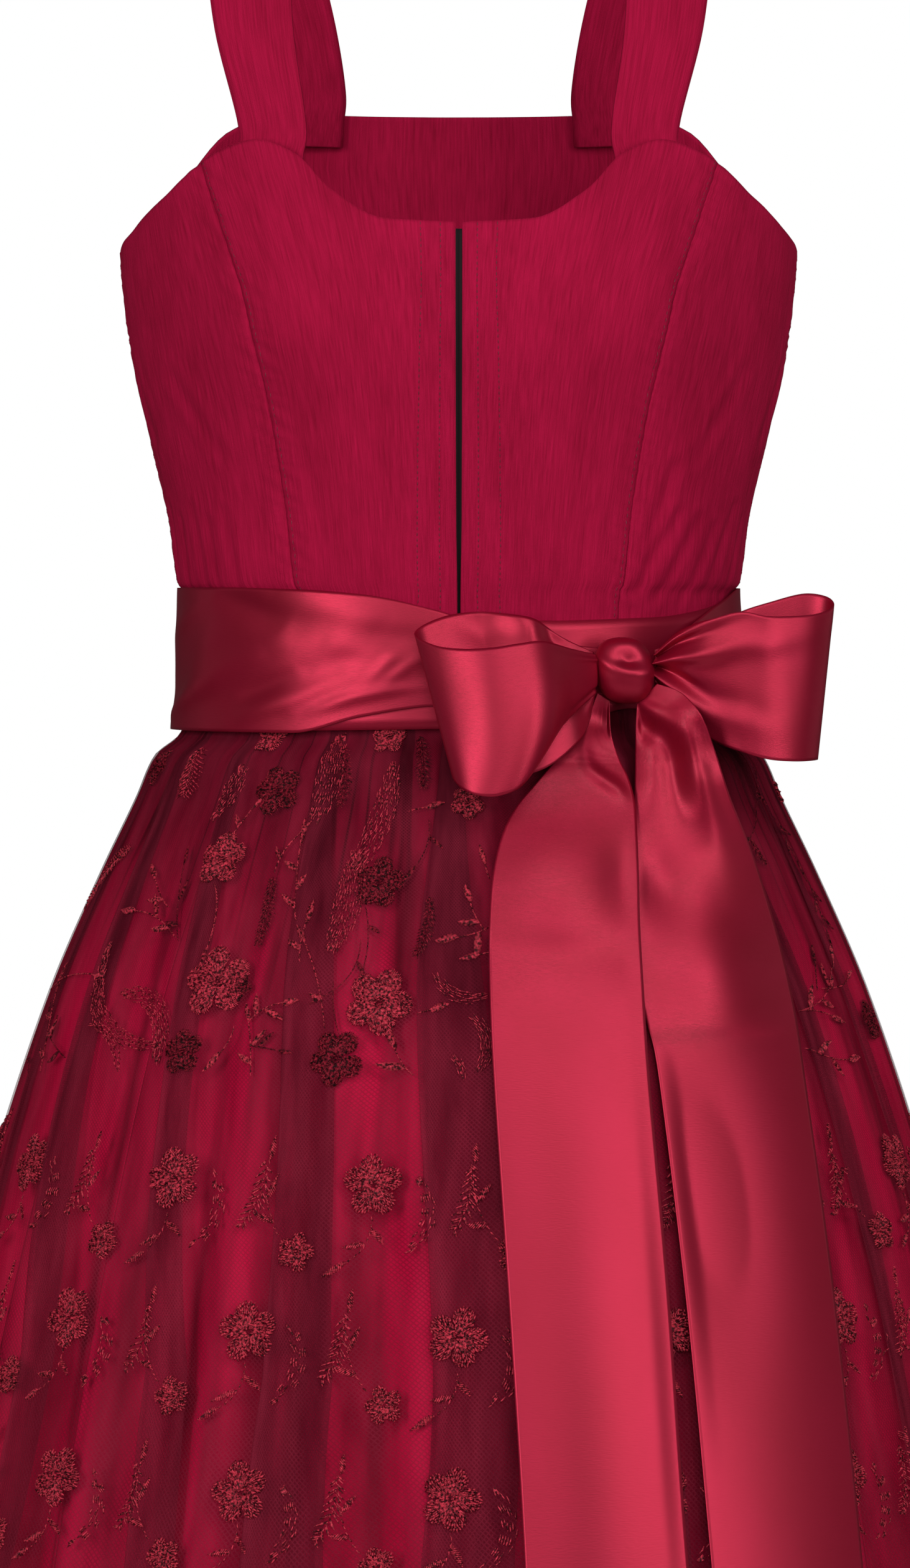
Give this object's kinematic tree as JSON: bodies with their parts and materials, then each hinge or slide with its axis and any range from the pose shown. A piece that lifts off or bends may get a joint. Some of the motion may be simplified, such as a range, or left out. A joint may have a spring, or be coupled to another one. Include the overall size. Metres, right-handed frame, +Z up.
{
  "type": "dirndl",
  "caption": "Sleeveless folk dress in worn form: seamed bodice, gathered skirt, embroidered net apron and a wide satin ribbon sash tied in a bow.",
  "frame": {"origin": "middle of the wearer's waist, level with the middle of the front of the sash, where the worn dress is held", "axes": "+Z up along the wearer, -Y out of the front of the dress, +X towards the side of the front that carries the bow"},
  "size_m": [0.6308, 0.5545, 1.0483],
  "materials": {
    "bodice_cotton": "matte crimson crepe cotton with fine upright slubs",
    "placket_tape": "matte black-red tape behind the front closing",
    "skirt_taffeta": "soft crimson taffeta with a low sheen",
    "apron_tulle": "sheer dark red tulle with raised tone-on-tone thread embroidery",
    "ribbon_satin": "glossy crimson satin ribbon"
  },
  "bodies": {
    "root": {"bodice_front_left": "bodice_cotton", "bodice_front_right": "bodice_cotton", "bodice_side_front_left": "bodice_cotton", "bodice_side_front_right": "bodice_cotton", "bodice_side_back_left": "bodice_cotton", "bodice_side_back_right": "bodice_cotton", "bodice_back": "bodice_cotton", "strap_left": "bodice_cotton", "strap_right": "bodice_cotton", "front_placket": "placket_tape", "skirt_front": "skirt_taffeta", "skirt_right": "skirt_taffeta", "skirt_back": "skirt_taffeta", "skirt_left": "skirt_taffeta", "apron": "apron_tulle", "waistband": "ribbon_satin", "sash_wrap": "ribbon_satin", "bow_loop_left": "ribbon_satin", "bow_loop_right": "ribbon_satin", "bow_knot": "ribbon_satin", "bow_tail_left": "ribbon_satin", "bow_tail_right": "ribbon_satin"}
  },
  "joints": []
}
